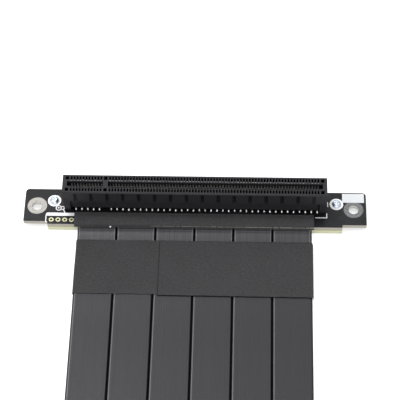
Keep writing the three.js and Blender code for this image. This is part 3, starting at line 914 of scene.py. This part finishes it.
# One shape repeated along X, with a wider step after one copy and a seeded lean.
def rowTree():
    tree = bpy.data.node_groups.new("rowOfCopies", "GeometryNodeTree")
    sockets = {
        "Geometry": "Geometry", "Start": "Vector", "Count": "Int", "Pitch": "Float",
        "Copies Before Gap": "Int", "Gap": "Float", "Lean": "Float", "Size Change": "Float", "Seed": "Int",
        "Finish": "Material",
    }
    for name, kind in sockets.items():
        tree.interface.new_socket(name=name, in_out="INPUT", socket_type=f"NodeSocket{kind}")
    tree.interface.new_socket(name="Geometry", in_out="OUTPUT", socket_type="NodeSocketGeometry")
    start = addNode(tree, "NodeGroupInput").outputs
    step = addNode(tree, "ShaderNodeCombineXYZ", X=start["Pitch"]).outputs[0]
    line = addNode(tree, "GeometryNodeMeshLine", Count=start["Count"], Start_Location=start["Start"],
                   Offset=step)
    index = addNode(tree, "GeometryNodeInputIndex").outputs[0]
    past = addNode(tree, "FunctionNodeCompare", {"data_type": "INT", "operation": "GREATER_EQUAL"},
                   i2=index, i3=start["Copies Before Gap"]).outputs[0]
    shift = addNode(tree, "ShaderNodeCombineXYZ",
                    X=mathNode(tree, "MULTIPLY", past, start["Gap"])).outputs[0]
    spread = addNode(tree, "GeometryNodeSetPosition", Geometry=line.outputs[0], Offset=shift).outputs[0]
    negative = mathNode(tree, "MULTIPLY", start["Lean"], -1.0)
    low = addNode(tree, "ShaderNodeCombineXYZ", X=negative, Y=negative).outputs[0]
    high = addNode(tree, "ShaderNodeCombineXYZ", X=start["Lean"], Y=start["Lean"]).outputs[0]
    lean = addNode(tree, "FunctionNodeRandomValue", {"data_type": "FLOAT_VECTOR"}, i0=low, i1=high,
                   Seed=start["Seed"]).outputs[0]
    small = mathNode(tree, "SUBTRACT", 1.0, start["Size Change"])
    large = mathNode(tree, "ADD", 1.0, start["Size Change"])
    size = addNode(tree, "FunctionNodeRandomValue", {"data_type": "FLOAT"}, i2=small, i3=large,
                   Seed=start["Seed"]).outputs[1]
    copies = addNode(tree, "GeometryNodeInstanceOnPoints", Points=spread, Instance=start["Geometry"],
                     Rotation=lean, Scale=size).outputs[0]
    whole = addNode(tree, "GeometryNodeRealizeInstances", Geometry=copies).outputs[0]
    dressed = addNode(tree, "GeometryNodeSetMaterial", Geometry=whole, Material=start["Finish"]).outputs[0]
    addNode(tree, "NodeGroupOutput", Geometry=dressed)
    return tree


copiesTree = rowTree()


# shape is one copy round its own origin, in mm. settings are the tree's named inputs, in mm.
def makeRow(name, shape, settings, material):
    points, faces = shape
    mesh = bpy.data.meshes.new(name + "Copy")
    mesh.from_pydata([[c * mm for c in p] for p in points], [], faces)
    holder = bpy.data.objects.new(name + "Holder", mesh)
    bpy.context.collection.objects.link(holder)
    fixNormals(holder)
    modifier = holder.modifiers.new("rowOfCopies", "NODES")
    modifier.node_group = copiesTree
    ids = {item.name: item.identifier for item in copiesTree.interface.items_tree
           if item.item_type == "SOCKET" and item.in_out == "INPUT"}
    for key, value in settings.items():
        if key == "Start":
            value = [c * mm for c in value]
        elif key in ("Pitch", "Gap"):
            value = value * mm
        modifier[ids[key]] = value
    modifier[ids["Finish"]] = material
    bpy.context.view_layer.update()
    shown = holder.evaluated_get(bpy.context.evaluated_depsgraph_get())
    plain = bpy.data.meshes.new_from_object(shown)
    plain.name = name
    piece = bpy.data.objects.new(name, plain)
    bpy.context.collection.objects.link(piece)
    holder.modifiers.clear()
    bpy.data.objects.remove(holder)
    if not plain.materials:
        plain.materials.append(material)
    settle(piece)
    return piece


# One copy at each contact, with the wider step over the key.
def atContacts(y, height):
    return {
        "Start": (contactRow["firstX"], y, height), "Count": contactRow["count"],
        "Pitch": contactRow["pitch"], "Copies Before Gap": contactRow["beforeKey"],
        "Gap": contactRow["keyGap"], "Lean": 0.0, "Size Change": 0.0, "Seed": 1,
    }


# One copy at every second contact, each with its own slight lean and size.
def atTails(y, height, seed):
    return {
        "Start": (contactRow["firstX"] + contactRow["pitch"], y, height), "Count": contactRow["count"] // 2,
        "Pitch": 2 * contactRow["pitch"], "Copies Before Gap": contactRow["beforeKey"] // 2,
        "Gap": contactRow["keyGap"], "Lean": 0.2, "Size Change": 0.07, "Seed": seed,
    }


contactSizes = {
    "root": (1.6, 4.75), "bow": (0.76, 7.4), "tip": (1.56, 11.1), "thickness": 0.25, "width": 0.46,
    "tailFoot": 2.8, "dropWidth": 0.7, "dropLength": 0.82, "dropLean": 0.8, "dropHeight": 1.05,
}


# A stamped spring blade: up from its root, bowed into the slot, back to its tip.
def bladeShape(side):
    sizes = contactSizes
    line = [sizes["root"], sizes["bow"], sizes["tip"]]
    half = sizes["thickness"] / 2
    left, right = [], []
    for i, point in enumerate(line):
        before, after = Vector(line[max(i - 1, 0)]), Vector(line[min(i + 1, len(line) - 1)])
        ahead = (after - before).normalized()
        normal = Vector((-ahead.y, ahead.x)) * half
        left.append(Vector(point) + normal)
        right.append(Vector(point) - normal)
    outline = left + right[::-1]
    n = len(outline)
    points = [(x, side * p.x, p.y) for x in (-sizes["width"] / 2, sizes["width"] / 2) for p in outline]
    faces = [tuple(range(n)), tuple(range(n, 2 * n))]
    faces += [(j, (j + 1) % n, n + (j + 1) % n, n + j) for j in range(n)]
    return points, faces


# The drop of solder round a tail's foot, leaning with the tail. Its origin is at the foot.
def solderShape(side):
    sizes = contactSizes
    sides = 14
    # height, shift towards the lean, and radius
    rings = [(0.0, 0.0, 0.50), (0.06, 0.02, 0.47), (0.2, 0.10, 0.41), (0.36, 0.22, 0.33), (0.5, 0.34, 0.20),
             (0.56, 0.40, 0.07)]
    points = []
    for height, shift, radius in rings:
        for x, y in ringPoints((0, 0), radius, sides):
            leaning = side * (y * sizes["dropLength"] - shift * sizes["dropLean"])
            points.append((x * sizes["dropWidth"], leaning, height * sizes["dropHeight"]))
    faces = skinFaces(len(rings), sides)
    faces += [tuple(reversed(range(sides))), tuple(range((len(rings) - 1) * sides, len(rings) * sides))]
    return points, faces


for side, label, metal in ((-1, "front", shadedPlating), (1, "back", plating)):
    makeRow(f"{label}_contact_blades", bladeShape(side), atContacts(slotY, boardTop), metal)
    tailsY = slotY + side * contactSizes["tailFoot"]
    makeRow(f"{label}_soldered_tails", solderShape(side), atTails(tailsY, boardTop, 3 + side), tin)
print("contacts set")


fingerSizes = {
    "width": 0.72, "length": 5.42, "thickness": 0.1, "sunk": 0.02, "plugTip": -230.48, "fromTip": 1.5,
}


def fingerShape(face):
    sizes = fingerSizes
    half = sizes["width"] / 2
    outline = [(-half, 0), (half, 0)]
    outline += [(half * math.cos(a), sizes["length"] - half + half * math.sin(a))
                for a in [math.pi * k / 6 for k in range(7)]]
    n = len(outline)
    heights = (-sizes["sunk"], sizes["thickness"] - sizes["sunk"])
    points = [(x, y, face * z) for z in heights for x, y in outline]
    faces = [tuple(range(n)), tuple(range(n, 2 * n))]
    faces += [(j, (j + 1) % n, n + (j + 1) % n, n + j) for j in range(n)]
    return points, faces


fingersY = fingerSizes["plugTip"] + fingerSizes["fromTip"]
for face, label, height in ((1, "upper", boardTop), (-1, "lower", boardFloor)):
    makeRow(f"plug_{label}_gold_fingers", fingerShape(face), atContacts(fingersY, height),
                              gold)
print("plug dressed")


studio = {
    "floorSize": 3.0, "floorDrop": 0.0002, "floorColour": 0.7, "floorLift": 0.62, "worldLight": 0.46,
    "lamps": [
        ("overheadSoftbox", (0.05, 0.15, 1.5), (0, -0.03, 0), 1.3, 9.0),
        ("leftSoftbox", (-1.1, -0.15, 0.9), (0, -0.03, 0), 0.8, 5.0),
        ("backSoftbox", (-0.25, 1.25, 0.8), (0, 0, 0), 0.9, 4.0),
        ("ribbonGlow", (-0.31, 0.24, 0.9), (-0.03, -0.04, 0), 0.22, 3.4),
        ("frontFill", (0.1, -1.3, 0.45), (0, -0.03, 0), 0.7, 5.5),
    ],
}


def makeFloor():
    material, tree, shader = newMaterial("paleFloor", Roughness=0.9, Specular_IOR_Level=0.0)
    cloudy = speckle(tree, millimetres(tree, (0.01, 0.01, 0.01)), 1.0, 2)
    shade = studio["floorColour"]
    wire(tree, shader, Base_Color=ramp(tree, cloudy, [(0.2, shade * 0.995), (0.8, shade)]))
    glow = mathNode(tree, "MULTIPLY", shownDirectly(tree), studio["floorLift"])
    lift = addNode(tree, "ShaderNodeEmission", Color=(1, 1, 1, 1), Strength=glow).outputs[0]
    both = addNode(tree, "ShaderNodeAddShader", i0=shader.outputs[0], i1=lift).outputs[0]
    tree.links.new(both, tree.nodes["Material Output"].inputs[0])
    half, height = studio["floorSize"] / 2, -studio["floorDrop"]
    corners = [(-half, -half, height), (half, -half, height), (half, half, height), (-half, half, height)]
    mesh = bpy.data.meshes.new("studioFloor")
    mesh.from_pydata(corners, [], [(0, 1, 2, 3)])
    mesh.materials.append(material)
    floor = bpy.data.objects.new("studioFloor", mesh)
    bpy.context.collection.objects.link(floor)


def makeLamp(name, location, target, size, power):
    data = bpy.data.lights.new(name, "AREA")
    data.size = size
    data.energy = power
    lamp = bpy.data.objects.new(name, data)
    lamp.location = location
    lamp.rotation_euler = (Vector(target) - Vector(location)).to_track_quat("-Z", "Y").to_euler()
    bpy.context.collection.objects.link(lamp)


def makeWorld():
    world = bpy.data.worlds.new("studioWorld")
    world.use_nodes = True
    tree = world.node_tree
    dim = tree.nodes["Background"]
    dim.inputs["Color"].default_value = (1, 1, 1, 1)
    dim.inputs["Strength"].default_value = studio["worldLight"]
    white = addNode(tree, "ShaderNodeBackground", Color=(1, 1, 1, 1), Strength=1.0).outputs[0]
    both = addNode(tree, "ShaderNodeMixShader", i0=shownDirectly(tree), i1=dim.outputs[0],
                   i2=white).outputs[0]
    tree.links.new(both, tree.nodes["World Output"].inputs[0])
    bpy.context.scene.world = world


makeFloor()
for lampSettings in studio["lamps"]:
    makeLamp(*lampSettings)
makeWorld()
bpy.context.scene.view_settings.view_transform = "Standard"
print("studio lit")
